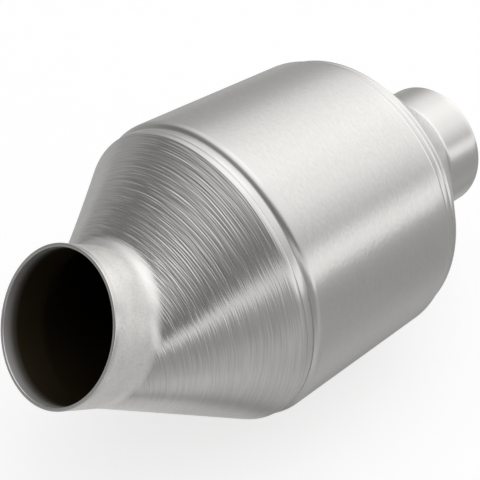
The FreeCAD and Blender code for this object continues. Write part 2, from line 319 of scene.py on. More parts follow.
def shell_rings(s, p):
    """All rings of the shell, from the inlet cone's edge over the outside to the outlet, back through the
    inside to the inlet rim, and along the outside of the inlet neck to the start."""
    rings = Rings(s.around)
    inlet_edge = (p.inlet_edge, p.cone)
    inlet_crease = (p.inlet_corner - s.crease_place, p.crease)
    inlet_corner = (p.inlet_corner, p.corner)
    inlet_body = p.inlet_corner + s.step_run
    outlet_body = p.outlet_corner - s.step_run
    outlet_corner = (p.outlet_corner, p.corner)
    outlet_crease = (p.outlet_corner + s.crease_place, p.crease)
    outlet_edge = (p.outlet_edge, p.cone)
    body_start, body_end = (inlet_body, BODY_RADIUS), (outlet_body, BODY_RADIUS)
    rim, inner_rim = (0, p.neck), (0, s.neck_bore)

    rings.circle(*inlet_edge, sharp=True)
    rings.circles(crowned(inlet_edge, inlet_crease, s.thin_ridge_round)[1:])
    wide = crowned(inlet_crease, inlet_corner, s.wide_ridge_round)
    rings.circle(*wide[0], sharp=True)
    rings.circles(wide[1:])
    rings.circle(*inlet_corner, sharp=True)
    rings.circles(rounded(inlet_corner, body_start, body_end, s.edge_round))
    rings.circles(between((inlet_body + BODY_MARGIN, BODY_RADIUS), (outlet_body - BODY_MARGIN, BODY_RADIUS),
                          BODY_SPACING))
    rings.circles(rounded(body_start, body_end, outlet_corner, s.edge_round))
    for ridge in (crowned(outlet_corner, outlet_crease, s.wide_ridge_round),
                  crowned(outlet_crease, outlet_edge, s.thin_ridge_round)):
        rings.circle(*ridge[0], sharp=True)
        rings.circles(ridge[1:])
    rings.circle(*outlet_edge, marks=1.0, sharp=True)
    root = rounded(outlet_edge, (p.outlet_root, p.neck), rim, s.neck_round)
    rings.circles(between(outlet_edge, root[0], s.ring_spacing), marks=1.0)
    rings.circles(root)
    rings.circles(between(root[-1], (-s.rim_round, p.neck), NECK_SPACING))
    rings.circles(rounded(root[-1], rim, inner_rim, s.rim_round, RIM_STEPS))
    rings.circles(rounded(rim, inner_rim, (p.outlet_root, s.neck_bore), s.rim_round, RIM_STEPS))

    inner_cone, inner_corner = p.cone - s.wall, p.corner - s.wall
    inner_edge = (p.outlet_edge - p.outlet_shift, inner_cone)
    root = rounded(inner_rim, (p.outlet_root - p.outlet_shift, s.neck_bore), inner_edge,
                   s.neck_round + s.wall)
    inside = between((-s.rim_round, s.neck_bore), root[0], NECK_SPACING)
    rings.circles(inside[:1])
    # Painted shade over the inside of the outlet neck, both cones and the bore
    rings.circles(inside[1:] + root + between(root[-1], inner_edge, INSIDE_SPACING), dark=1.0)
    rings.circles((inner_edge, (p.outlet_corner - p.step_shift, inner_corner),
                   (outlet_body - p.step_shift, p.bore)), dark=1.0, sharp=True)
    rings.circles(between((outlet_body, p.bore), (inlet_body, p.bore), BORE_SPACING), dark=1.0)
    rings.circles(((inlet_body + p.step_shift, p.bore), (p.inlet_corner + p.step_shift, inner_corner),
                   (p.inlet_edge + p.inlet_shift, inner_cone)), dark=1.0, sharp=True)

    a = rings.bearings
    tilt = s.inlet_tilt
    shift = p.inlet_shift
    centre = (p.inlet_root, 0, s.inlet_rise)
    inner_centre = (p.inlet_root + shift * math.cos(tilt), 0, s.inlet_rise - shift * math.sin(tilt))
    inner_circle = tilted_circle(a, inner_centre, 0, tilt, s.neck_bore)
    outer_circle = tilted_circle(a, centre, 0, tilt, p.neck)
    runs = neck_rings(rings.points[-1], inner_circle, tilt, s.inlet_neck + shift - s.rim_round,
                      s.neck_round + s.wall, INSIDE_SPACING, True)
    # Painted shade inside the inlet cone and neck, fading out towards the honed edge at the rim
    for points, part, share in runs:
        unshaded = 0.0
        if part == "neck":
            unshaded = max(0.0, min(1.0, (share - UNSHADED_START) / UNSHADED_FADE))
        rings.add(points, dark=1.0 - unshaded, honed=unshaded)
    quarter = [number / RIM_STEPS * math.pi / 2 for number in range(RIM_STEPS + 1)]
    rim_line = [(math.sin(turn), s.neck_bore + s.rim_round * (1 - math.cos(turn))) for turn in quarter[1:]]
    rim_line += [(math.cos(turn), p.neck - s.rim_round * (1 - math.sin(turn))) for turn in quarter]
    for out, radius in rim_line:
        rings.add(tilted_circle(a, centre, s.inlet_neck - s.rim_round * (1 - out), tilt, radius))
    runs = neck_rings(rings.points[0], outer_circle, tilt, s.inlet_neck - s.rim_round, s.neck_round,
                      s.ring_spacing, False)
    for points, part, share in runs[1:]:
        satin = {"cone": 0.0, "hollow": share, "neck": 1.0}[part]
        rings.add(points, marks=1.0 - satin, satin=satin)
    return rings


def cut_grooves(rings, spacing, depth, seed):
    """Spinning marks: the cones sink or rise along the normal by an uneven amount, which goes by the place
    along the body axis, as on a sheet that turned about that axis."""
    points = np.array(rings.points)
    around = np.roll(points, -1, 1) - np.roll(points, 1, 1)
    along = np.roll(points, -1, 0) - np.roll(points, 1, 0)
    normals = np.cross(around, along)
    normals /= np.linalg.norm(normals, axis=2)[..., None]
    chance = np.random.default_rng(seed)
    knots = np.arange(CAD_BOX[0].x, CAD_BOX[1].x + spacing, spacing)
    bearings = np.arctan2(points[..., 1], points[..., 2])
    rise = GROOVE_EVEN * np.interp(points[..., 0], knots, chance.normal(size=len(knots)))
    for wave in range(1, GROOVE_WAVES + 1):
        for turned in (np.cos(wave * bearings), np.sin(wave * bearings)):
            heights = chance.normal(size=len(knots)) / math.sqrt(GROOVE_WAVES)
            rise += turned * np.interp(points[..., 0], knots, heights)
    share = np.array(rings.shares["marks"])[:, None]
    return points + normals * (depth * share * rise)[..., None]


def new_object(name, data):
    """New object in the scene."""
    made = bpy.data.objects.new(name, data)
    bpy.context.scene.collection.objects.link(made)
    return made


def skin(name, rings, points):
    """Closed mesh over the rings, with its spun map and its shares of each surface."""
    count, around = points.shape[:2]
    index = np.arange(count * around).reshape(count, around)
    right = np.roll(index, -1, 1)
    after = np.roll(index, -1, 0)
    corner = np.roll(right, -1, 0)
    quads = np.stack([index, after, corner, right], 2).reshape(-1, 4)
    mesh = bpy.data.meshes.new(name)
    mesh.from_pydata(points.reshape(-1, 3).tolist(), [], quads.tolist())
    mesh.validate()
    mesh.polygons.foreach_set("use_smooth", [True] * len(mesh.polygons))

    along = np.array(rings.along)
    last = along[-1] + float(np.linalg.norm(points[0] - points[-1], axis=1).mean())
    ends = np.append(along[1:], last)
    uv = np.empty((count, around, 4, 2))
    share = np.arange(around) / around
    uv[:, :, 0, 0] = uv[:, :, 1, 0] = share
    uv[:, :, 2, 0] = uv[:, :, 3, 0] = share + 1 / around
    uv[:, :, 0, 1] = uv[:, :, 3, 1] = along[:, None]
    uv[:, :, 1, 1] = uv[:, :, 2, 1] = ends[:, None]
    layer = mesh.uv_layers.new(name="spun")
    layer.data.foreach_set("uv", uv.reshape(-1).astype(np.float32))

    for label, values in rings.shares.items():
        attribute = mesh.attributes.new(label, "FLOAT", "POINT")
        attribute.data.foreach_set("value", np.repeat(np.array(values, np.float32), around))

    sharp_rings = {number for number, sharp in enumerate(rings.sharp) if sharp}
    flags = [False] * len(mesh.edges)
    for edge in mesh.edges:
        one, two = (vertex // around for vertex in edge.vertices)
        flags[edge.index] = one == two and one in sharp_rings
    sharp = mesh.attributes.get("sharp_edge") or mesh.attributes.new("sharp_edge", "BOOLEAN", "EDGE")
    sharp.data.foreach_set("value", flags)
    mesh.update()
    return new_object(name, mesh)


class Tree:
    """Short way to add and link the nodes of one tree. A kind may be given without the tree's prefix."""
    prefix = "ShaderNode"

    def add(self, kind, inputs=None, **settings):
        """Outputs of a new node. Its inputs are values or other nodes' outputs."""
        node = self.tree.nodes.new(kind if "Node" in kind else self.prefix + kind)
        for key, setting in settings.items():
            setattr(node, key, setting)
        for key, given in (inputs or {}).items():
            if isinstance(given, NodeSocket):
                self.tree.links.new(given, node.inputs[key])
            else:
                node.inputs[key].default_value = given
        return node.outputs

    def math(self, operation, *values):
        """Result of a Math node."""
        return self.add("ShaderNodeMath", dict(enumerate(values)), operation=operation)[0]

    def times(self, one, two):
        """Product of two values."""
        return self.math("MULTIPLY", one, two)


class Nodes(Tree):
    """Nodes of a material or of the world."""

    def __init__(self, user, output="ShaderNodeOutputMaterial"):
        user.use_nodes = True
        self.user = user
        self.tree = user.node_tree
        self.tree.nodes.clear()
        self.output = self.tree.nodes.new(output)

    def varied(self, value, base, span):
        """Base, and as much of the span as the value says."""
        return self.math("MULTIPLY_ADD", value, span, base)

    def mix(self, factor, one, two):
        """Blend of two colours."""
        return self.add("Mix", {0: factor, 6: one, 7: two}, data_type="RGBA")[2]

    def mottle(self, factor, colour, tones):
        """Colour that goes from the first of two tones of itself to the second."""
        darkest, palest = (rgb(Vector(colour) * tone) for tone in tones)
        return self.mix(factor, darkest, palest)

    def scaled(self, colour, factor):
        """Colour times a factor."""
        return self.add("VectorMath", {0: colour, "Scale": factor}, operation="SCALE")[0]

    def smooth(self, value, start, end):
        """Soft step from 0 at the start to 1 at the end."""
        settings = {"Value": value, "From Min": start, "From Max": end}
        return self.add("MapRange", settings, interpolation_type="SMOOTHSTEP")[0]

    def levels(self, value, stops):
        """Light level by an angle or a distance, from stops of that value and the level there."""
        lowest, widest = stops[0][0], stops[-1][0] - stops[0][0]
        share = self.math("MULTIPLY_ADD", value, 1 / widest, -lowest / widest)
        highest = max(level for stop, level in stops)
        colour = self.add("ValToRGB", {0: share})[0]
        ramp = colour.node.color_ramp
        for stop, level in stops[1:-1]:
            ramp.elements.new((stop - lowest) / widest)
        for number, (stop, level) in enumerate(stops):
            grey = level / highest
            ramp.elements[number].color = (grey, grey, grey, 1)
        return self.times(colour, highest)

    def finish(self, shader):
        """Links the shader to the output and returns the material or world."""
        self.tree.links.new(shader, self.output.inputs["Surface"])
        return self.user


def rgb(values):
    """Colour with full alpha."""
    return (*values, 1.0)


# Grain of the sheet: streaks in one turn, their width, the noise's detail and its seed
FINE = (9.0, 0.35 * MM, 2.0, 1.3)
HAIR = (2.2, 0.22 * MM, 1.0, 5.1)
SPUN = (3.6, 0.40 * MM, 0.4, 8.7)
CLOUD = (3.0, 6.0 * MM, 3.0, 2.2)
BROAD = (0.7, 9.0 * MM, 1.0, 3.9)
STROKES = (34.0, 0.62 * MM, 1.0, 7.7)
GRAIN_MIX = 0.6
GRIT_SCALE = 1300.0

# The strokes of the body fade in between these two distances from its corners
STROKES_FADE = (3 * MM, 8 * MM)

# How far the grains and surfaces change the sheet's tone, roughness and height
SPUN_RANGE = (0.35, 0.65)
SPUN_TONES = (-0.06, 0.03)
FINE_TONE = (0.97, 0.06)
STROKES_TONE = 0.18
# The satin neck's colour is lifted by SATIN_TONE and its cloud and grit grains, about a third on average:
# the mottle is its grain, the lift a painted highlight
SATIN_TONE = -0.08
CLOUD_TONE = 0.5
GRIT_TONE = 0.4
FINE_ROUGH = 0.08
BROAD_ROUGH = 0.05
PAINTED_SHADE_ROUGH = 0.3
SATIN_ROUGH = (0.12, 0.3)
HONED_ROUGH = 0.3
FINE_HEIGHT = 0.005 * MM
HAIR_HEIGHT = 0.002 * MM
STROKES_HEIGHT = 0.05 * MM
SPUN_HEIGHT = 0.21 * MM


def steel_material(name, finish, places):
    """Brushed and spun stainless sheet. The grain runs round the axis, after the spun map."""
    n = Nodes(bpy.data.materials.new(name))
    split = n.add("SeparateXYZ", {0: n.add("UVMap", uv_map="spun")[0]})
    bearing = n.times(split[0], 2 * math.pi)
    cosine = n.math("COSINE", bearing)
    sine = n.math("SINE", bearing)
    along = split[1]
    marks, dark, satin, honed = (n.add("Attribute", attribute_name=name)["Fac"] for name in SURFACES)
    place = n.add("TexCoord")["Object"]
    x = n.add("SeparateXYZ", {0: place})[0]

    def grain(turns, spacing, detail, seed, along=along):
        """Streaks round the axis: turns is their number per turn, spacing their width."""
        spot = n.add("CombineXYZ", {
            0: n.times(cosine, turns),
            1: n.times(sine, turns),
            2: n.times(along, 1 / spacing),
        })[0]
        noise = n.add("TexNoise", {"Vector": spot, "W": seed, "Scale": 1.0, "Detail": detail,
                                   "Roughness": GRAIN_MIX}, noise_dimensions="4D")
        return noise["Fac"]

    fine, hair, cloud, broad, strokes = (grain(*kind) for kind in (FINE, HAIR, CLOUD, BROAD, STROKES))
    spun = grain(*SPUN, along=x)
    grit = n.add("TexNoise", {"Vector": place, "Scale": GRIT_SCALE, "Detail": 1.0})["Fac"]
    near, far = STROKES_FADE
    body = n.times(n.smooth(x, places.inlet_corner + near, places.inlet_corner + far),
                   n.smooth(x, places.outlet_corner - near, places.outlet_corner - far))

    tone = n.add("MapRange", {"Value": spun, "From Min": SPUN_RANGE[0], "From Max": SPUN_RANGE[1],
                              "To Min": SPUN_TONES[0], "To Max": SPUN_TONES[1]})[0]
    shade = n.varied(marks, 1.0, tone)
    shade = n.times(shade, n.varied(fine, *FINE_TONE))
    tone = n.times(n.math("SUBTRACT", strokes, 0.5), STROKES_TONE)
    shade = n.times(shade, n.varied(body, 1.0, tone))
    steel = n.scaled(finish.tint, shade)
    # Painted highlight: the satin neck's colour is lifted about a third above the sheet, mottled by its
    # cloud and grit grains
    tone = n.varied(grit, n.varied(cloud, SATIN_TONE, CLOUD_TONE), GRIT_TONE)
    steel = n.scaled(steel, n.varied(satin, 1.0, tone))
    # Painted shade: the dark inside colour on the inner surfaces
    steel = n.mix(dark, steel, rgb(finish.inside))

    rough = n.varied(fine, finish.roughness - FINE_ROUGH / 2, FINE_ROUGH)
    rough = n.varied(n.math("SUBTRACT", broad, 0.5), rough, BROAD_ROUGH)
    rough = n.varied(dark, rough, PAINTED_SHADE_ROUGH)
    rough = n.varied(satin, rough, n.varied(cloud, *SATIN_ROUGH))
    rough = n.varied(honed, rough, HONED_ROUGH)

    height = n.times(fine, FINE_HEIGHT)
    height = n.varied(hair, height, HAIR_HEIGHT)
    height = n.varied(n.times(strokes, body), height, STROKES_HEIGHT)
    height = n.varied(n.times(spun, marks), height, SPUN_HEIGHT)
    bump = n.add("Bump", {"Height": height, "Distance": 1.0, "Strength": 1.0})[0]
    tangent = n.add("Tangent", direction_type="UV_MAP", uv_map="spun")[0]
    return n.finish(n.add("BsdfPrincipled", {
        "Base Color": steel,
        "Metallic": 1.0,
        "Roughness": rough,
        "Anisotropic": finish.anisotropy,
        "Anisotropic Rotation": 0.25,
        "Normal": bump,
        "Tangent": tangent,
    })[0])


class CONVERTER_OT_shell(Operator):
    """Spun shell with its sized bands, cones and necks"""
    bl_idname = "converter.shell"
    bl_label = "Spun shell"

    def execute(self, context):
        sizes = context.scene.converter_shell
        places = Places(sizes)
        rings = shell_rings(sizes, places)
        points = cut_grooves(rings, sizes.groove_spacing, sizes.groove_depth, GROOVE_SEED)
        piece = skin("spun_shell", rings, points)
        finish = context.scene.converter_steel
        piece.data.materials.append(steel_material("spun_stainless", finish, places))
        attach(piece, "root")
        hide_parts("converter_shell")
        return {"FINISHED"}


# Points nearer to each other than this become one point
MERGE_DISTANCE = 0.002 * MM
# A point this near to an end of the brick is in it, and a face with this much X in its normal is an end
AT_END = 0.01 * MM
END_FACING = 0.9


class Shaper(Tree):
    """One Geometry Nodes tree, which gives an object its shape as a plain mesh."""
    prefix = "GeometryNode"

    def __init__(self, name, inputs):
        self.tree = bpy.data.node_groups.new(name, "GeometryNodeTree")
        sockets = self.tree.interface
        sockets.new_socket(name="Geometry", in_out="OUTPUT", socket_type="NodeSocketGeometry")
        self.keys = {}
        for label, kind in inputs:
            socket = sockets.new_socket(name=label, in_out="INPUT", socket_type="NodeSocket" + kind)
            self.keys[label] = socket.identifier
        self.given = self.tree.nodes.new("NodeGroupInput").outputs
        self.output = self.tree.nodes.new("NodeGroupOutput")

    def finish(self, geometry):
        """Realize the instances, give them the material and link the result to the output."""
        real = self.add("RealizeInstances", {"Geometry": geometry})[0]
        merged = self.add("MergeByDistance", {"Geometry": real, "Distance": MERGE_DISTANCE})[0]
        coated = self.add("SetMaterial", {"Geometry": merged, "Material": self.given["Material"]})[0]
        self.tree.links.new(coated, self.output.inputs[0])

    def shape(self, name, values):
        """New object with the mesh that the tree gives for these values."""
        carrier = new_object(name, bpy.data.meshes.new(name + "_carrier"))
        modifier = carrier.modifiers.new(name, "NODES")
        modifier.node_group = self.tree
        for label, setting in values.items():
            modifier[self.keys[label]] = setting
        bpy.context.view_layer.update()
        graph = bpy.context.evaluated_depsgraph_get()
        mesh = bpy.data.meshes.new_from_object(carrier.evaluated_get(graph), depsgraph=graph)
        carrier.modifiers.remove(modifier)
        mesh.name = name
        carrier.data = mesh
        return carrier


def channel_cell(pitch, opening):
    """One square channel from face to face of the brick, with the frame of web round both mouths."""
    corners = ((-1, -1), (1, -1), (1, 1), (-1, 1))
    points = []
    for x in (BRICK_BOX[0].x, BRICK_BOX[1].x):
        for half in (pitch / 2, opening / 2):
            points += [(x, across * half, up * half) for across, up in corners]
    faces = []
    for number in range(4):
        after = (number + 1) % 4
        faces.append((number, 4 + number, 4 + after, after))
        faces.append((8 + number, 8 + after, 12 + after, 12 + number))
        faces.append((4 + number, 12 + number, 12 + after, 4 + after))
    mesh = bpy.data.meshes.new("channel_cell")
    mesh.from_pydata(points, [], faces)
    return new_object("channel_cell", mesh)


def honeycomb_tree():
    """A square grid of channels, kept where the whole cell lies within the reach."""
    g = Shaper("honeycomb", (("Cell", "Object"), ("Pitch", "Float"), ("Reach", "Float"),
                             ("Material", "Material")))
    pitch, reach = g.given["Pitch"], g.given["Reach"]
    steps = g.times(g.math("FLOOR", g.math("DIVIDE", reach, pitch)), 2.0)
    size = g.times(steps, pitch)
    count = g.add("FunctionNodeFloatToInt", {0: g.math("ADD", steps, 1.0)})[0]
    grid = g.add("MeshGrid", {"Size X": size, "Size Y": size, "Vertices X": count, "Vertices Y": count})[0]
    place = g.add("InputPosition")[0]
    split = g.add("ShaderNodeSeparateXYZ", {0: place})
    half = g.times(pitch, 0.5)
    far = g.add("ShaderNodeCombineXYZ", {0: g.math("ADD", g.math("ABSOLUTE", split[0]), half),
                                         1: g.math("ADD", g.math("ABSOLUTE", split[1]), half)})
    distance = g.add("ShaderNodeVectorMath", {0: far[0]}, operation="LENGTH")["Value"]
    outside = g.math("GREATER_THAN", distance, reach)
    kept = g.add("DeleteGeometry", {"Geometry": grid, "Selection": outside})[0]
    upright = g.add("Transform", {"Geometry": kept, "Rotation": (0, math.pi / 2, 0)})[0]
    cell = g.add("ObjectInfo", {"Object": g.given["Cell"]})["Geometry"]
    g.finish(g.add("InstanceOnPoints", {"Points": upright, "Instance": cell})[0])
    return g


def close_brick(piece, around, coat):
    """Fills both faces between the channels and the round outside, and adds the outside."""
    mesh = bmesh.new()
    mesh.from_mesh(piece.data)
    circles = []
    for x, facing in ((BRICK_BOX[0].x, -1), (BRICK_BOX[1].x, 1)):
        edges = [edge for edge in mesh.edges
                 if edge.is_boundary and all(abs(vert.co.x - x) < AT_END for vert in edge.verts)]
        circle = []
        for number in range(around):
            bearing = 2 * math.pi * number / around
            spot = (x, BRICK_RADIUS * math.sin(bearing), BRICK_RADIUS * math.cos(bearing))
            circle.append(mesh.verts.new(spot))
        edges += [mesh.edges.new((circle[number - 1], circle[number])) for number in range(around)]
        bmesh.ops.triangle_fill(mesh, use_beauty=True, edges=edges, normal=(facing, 0, 0))
        circles.append(circle)
    first, last = circles
    for number in range(around):
        side = mesh.faces.new((first[number - 1], first[number], last[number], last[number - 1]))
        side.smooth = True
    bmesh.ops.recalc_face_normals(mesh, faces=mesh.faces)
    for face in mesh.faces:
        if abs(face.normal.x) > END_FACING:
            for edge in face.edges:
                edge.smooth = False
    mesh.to_mesh(piece.data)
    mesh.free()
    piece.data.materials.clear()
    piece.data.materials.append(coat)


# Darkest and palest tone of each mottled surface, as a share of its colour
COAT_TONES = (0.7, 1.35)
RUBBED_TONE = 2.0
RUBBED_SHARE = 0.35
WIRE_TONES = (0.75, 1.2)
FIBRE_TONES = (0.75, 1.15)
# Least roughness of a surface and how much its noise adds
COAT_ROUGH = (0.72, 0.15)
WIRE_ROUGH = (0.25, 0.2)
# Heights in the bumps
MOTTLE_HEIGHT = 0.05 * MM
SPECK_HEIGHT = 0.02 * MM
FIBRE_HEIGHT = 0.25 * MM


def ceramic_material(name, sizes):
    """Coated cordierite: a matt brown coat with darker clouds and paler specks."""
    n = Nodes(bpy.data.materials.new(name))
    place = n.add("TexCoord")["Object"]
    mottle = n.add("TexNoise", {"Vector": place, "Scale": 140.0, "Detail": 4.0})["Fac"]
    speck = n.add("TexNoise", {"Vector": place, "Scale": 2200.0, "Detail": 2.0})["Fac"]
    tone = n.mottle(mottle, sizes.coat, COAT_TONES)
    tone = n.mix(n.times(speck, RUBBED_SHARE), tone, rgb(Vector(sizes.coat) * RUBBED_TONE))
    height = n.varied(speck, n.times(mottle, MOTTLE_HEIGHT), SPECK_HEIGHT)
    bump = n.add("Bump", {"Height": height, "Distance": 1.0, "Strength": 0.8})[0]
    return n.finish(n.add("BsdfPrincipled", {"Base Color": tone, "Roughness": n.varied(speck, *COAT_ROUGH),
                                             "Specular IOR Level": 0.3, "Normal": bump})[0])


class CONVERTER_OT_honeycomb(Operator):
    """Ceramic honeycomb brick with its fine square channels"""
    bl_idname = "converter.honeycomb"
    bl_label = "Honeycomb brick"

    def execute(self, context):
        sizes = context.scene.converter_brick
        cell = channel_cell(sizes.pitch, sizes.pitch - sizes.web)
        coat = ceramic_material("coated_ceramic", sizes)
        piece = honeycomb_tree().shape("honeycomb_brick", {
            "Cell": cell,
            "Pitch": sizes.pitch,
            "Reach": BRICK_RADIUS - sizes.skin,
            "Material": coat,
        })
        bpy.data.objects.remove(cell)
        close_brick(piece, sizes.around, coat)
        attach(piece, "root")
        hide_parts("monolith")
        return {"FINISHED"}


# Points on one loop of wire, sides of the wire, and its swing across a row and a layer as shares of them
LOOP_POINTS = 6.0
WIRE_SIDES = 4
ROW_SWING = 0.42
LAYER_SWING = 0.2


def knit_tree():
    """Turns of wavy wire, side by side and above each other, each turned half a loop from the last."""
    g = Shaper("knit", (("Loops", "Int"), ("Rows", "Int"), ("Layers", "Int"), ("Width", "Float"),
                        ("Inner", "Float"), ("Outer", "Float"), ("Wire", "Float"), ("Material", "Material")))
    loops, rows, layers, wire = (g.given[key] for key in ("Loops", "Rows", "Layers", "Wire"))
    width, inner, outer = (g.given[key] for key in ("Width", "Inner", "Outer"))
    count = g.times(rows, layers)
    points = g.add("Points", {"Count": count})[0]
    number = g.add("InputIndex")[0]
    row = g.math("MODULO", number, rows)
    layer = g.math("FLOOR", g.math("DIVIDE", number, rows))
    row_step = g.math("DIVIDE", width, rows)
    layer_step = g.math("DIVIDE", g.math("SUBTRACT", outer, inner), layers)
    along = g.times(g.math("ADD", row, 0.5), row_step)
    radius = g.math("ADD", inner, g.times(g.math("ADD", layer, 0.5), layer_step))
    place = g.add("ShaderNodeCombineXYZ", {2: along})[0]
    spots = g.add("SetPosition", {"Geometry": points, "Position": place})[0]

    ring = g.add("CurvePrimitiveCircle", {"Resolution": g.times(loops, LOOP_POINTS), "Radius": 1.0})[0]
    share = g.add("SplineParameter")[0]
    phase = g.times(g.times(share, loops), 2 * math.pi)
    sway = g.times(g.math("SINE", phase), g.times(row_step, ROW_SWING))
    bob = g.times(g.math("COSINE", g.times(phase, 2.0)), g.times(layer_step, LAYER_SWING))
    swing = g.math("DIVIDE", bob, inner)
    place = g.add("InputPosition")[0]
    grown = g.add("ShaderNodeVectorMath", {0: place, "Scale": g.math("ADD", 1.0, swing)},
                  operation="SCALE")[0]
    sideways = g.add("ShaderNodeCombineXYZ", {2: sway})[0]
    lifted = g.add("ShaderNodeVectorMath", {0: grown, 1: sideways}, operation="ADD")[0]
    wavy = g.add("SetPosition", {"Geometry": ring, "Position": lifted})[0]
    turn = g.times(number, g.math("DIVIDE", math.pi, loops))
    wires = g.add("InstanceOnPoints", {
        "Points": spots,
        "Instance": wavy,
        "Rotation": g.add("ShaderNodeCombineXYZ", {2: turn})[0],
        "Scale": g.add("ShaderNodeCombineXYZ", {0: radius, 1: radius, 2: 1.0})[0],
    })[0]
    real = g.add("RealizeInstances", {"Geometry": wires})[0]
    profile = g.add("CurvePrimitiveCircle", {"Resolution": WIRE_SIDES, "Radius": wire})[0]
    tube = g.add("CurveToMesh", {"Curve": real, "Profile Curve": profile})[0]
    g.finish(g.add("Transform", {"Geometry": tube, "Rotation": (0, math.pi / 2, 0)})[0])
    return g


def wire_material(name, sizes):
    """Drawn stainless wire, a little dulled by the heat."""
    n = Nodes(bpy.data.materials.new(name))
    place = n.add("TexCoord")["Object"]
    patch = n.add("TexNoise", {"Vector": place, "Scale": 90.0, "Detail": 3.0})["Fac"]
    tone = n.mottle(patch, sizes.wire_tint, WIRE_TONES)
    rough = n.varied(patch, *WIRE_ROUGH)
    return n.finish(n.add("BsdfPrincipled", {"Base Color": tone, "Metallic": 1.0, "Roughness": rough})[0])


def mat_material(name, sizes):
    """Pale fibre mat with mineral flakes, streaked round the brick."""
    n = Nodes(bpy.data.materials.new(name))
    place = n.add("TexCoord")["Object"]
    laid = n.add("Mapping", {"Vector": place, "Scale": (900.0, 220.0, 220.0)})[0]
    fibres = n.add("TexNoise", {"Vector": laid, "Scale": 1.0, "Detail": 5.0, "Roughness": 0.7})["Fac"]
    flakes = n.add("TexVoronoi", {"Vector": place, "Scale": 700.0})["Distance"]
    spots = n.add("MapRange", {"Value": flakes, "From Min": 0.22, "From Max": 0.12})[0]
    tone = n.mottle(fibres, sizes.fibre, FIBRE_TONES)
    tone = n.mix(spots, tone, rgb(sizes.flake))
    bump = n.add("Bump", {"Height": n.times(fibres, FIBRE_HEIGHT), "Distance": 1.0})[0]
    return n.finish(n.add("BsdfPrincipled", {"Base Color": tone, "Roughness": 0.9, "Sheen Weight": 0.25,
                                             "Normal": bump})[0])


class CONVERTER_OT_packing(Operator):
    """Knitted wire rings at both ends of the mat, and the mat's fibres"""
    bl_idname = "converter.packing"
    bl_label = "Wire rings and mat"

    def execute(self, context):
        sizes = context.scene.converter_packing
        wire = wire_material("knitted_wire", sizes)
        tree = knit_tree()
        for node in ("inlet_seal_ring", "outlet_seal_ring"):
            low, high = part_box(node)
            room = 2 * sizes.wire
            ring = tree.shape(node + "_knit", {
                "Loops": sizes.loops,
                "Rows": sizes.rows,
                "Layers": sizes.layers,
                "Width": high.x - low.x,
                "Inner": BRICK_RADIUS + room,
                "Outer": high.y - room,
                "Wire": sizes.wire,
                "Material": wire,
            })
            ring.data.transform(Matrix.Translation((low.x, 0, 0)))
            ring.data.shade_smooth()
            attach(ring, "root")
            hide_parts(node)
        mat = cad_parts["support_mat"]
        fibres = mat_material("mat_fibres", sizes)
        mat.data.materials.clear()
        mat.data.materials.append(fibres)
        return {"FINISHED"}


# Bearings about the axis, 0 overhead and negative on the camera's side, and the light level from there
TENT_LEVELS = ((-180, 1.1), (-115, 1.06), (-100, 1.45), (-86, 2.55), (-77, 2.6), (-65, 1.25), (-36, 2.4),
               (-10, 2.7), (14, 2.6), (38, 2.1), (60, 1.1), (85, 0.85), (180, 1.0))
# Elevations and the light level behind the camera
BEHIND_LEVELS = ((-90, 1.0), (0, 0.85), (10, 0.55), (18, 0.4), (28, 0.4), (38, 0.75), (50, 1.6), (65, 2.9),
                 (90, 2.9))
# The levels behind the camera give way to the tent between these shares of +X in a direction
AHEAD = (-0.45, 0.0)
# Strip behind the camera: its bearing, half its width to the faint edge and to the core, and its level
STRIP_BEARING = -76.0
STRIP_EDGE = (12.0, 3.0)
STRIP_LEVEL = 1.6
# Round panels beyond the outlet: azimuth, elevation, and the angles to the faint edge and to the core
UPPER_PANEL = (2, 27, 15, 7)
UPPER_LEVEL = 1.2
LOWER_PANEL = (2, 8, 38, 8)
LOWER_LEVEL = 3.1
# Change of the light that falls on diffuse surfaces
DIFFUSE_CHANGE = -0.48

# Painted shadow and bounce light in the floor's glow, which only reflections see: distances from the axis
# and the level of the light that the floor sends up there, and its share along X
FLOOR_LEVELS = ((0, 0.53), (0.032, 0.49), (0.046, 0.23), (0.060, 0.41), (0.082, 0.46), (0.115, 0.35),
                (0.5, 0.40))
FLOOR_ALONG = ((-0.5, 0.45), (-0.3, 0.50), (-0.24, 1.0), (-0.205, 1.3), (-0.18, 1.0), (-0.15, 0.9),
               (-0.05, 0.72), (0.0, 0.62), (0.3, 0.7), (0.5, 0.8))
# Darkest and palest grey of the floor, and its own glow for the camera
FLOOR_GREYS = (0.44, 0.46)
FLOOR_GLOW = 0.70


def direction(azimuth, elevation):
    """Unit vector towards an azimuth, counted from +X to +Y, and an elevation, both in degrees."""
    turn, rise = math.radians(azimuth), math.radians(elevation)
    return Vector((math.cos(turn) * math.cos(rise), math.sin(turn) * math.cos(rise), math.sin(rise)))


def softbox(name, stage, aim):
    """Square lamp above the object, which it faces, unseen by the camera."""
    data = bpy.data.lights.new(name, "AREA")
    data.shape = "RECTANGLE"
    data.size = stage.lamp_side
    data.size_y = stage.lamp_side
    data.energy = stage.lamp_power
    lamp = new_object(name, data)
    lamp.location = aim + direction(0, math.degrees(stage.lamp_elevation)) * stage.lamp_distance
    lamp.rotation_euler = (lamp.location - aim).to_track_quat("Z", "Y").to_euler()
    lamp.visible_camera = False


def round_panel(n, towards, azimuth, elevation, edge, core):
    """Share of a round panel in a direction: 1 within the core angle, 0 beyond the edge angle."""
    middle = direction(azimuth, elevation)
    closeness = n.add("VectorMath", {0: towards, 1: middle}, operation="DOT_PRODUCT")["Value"]
    return n.smooth(closeness, math.cos(math.radians(edge)), math.cos(math.radians(core)))


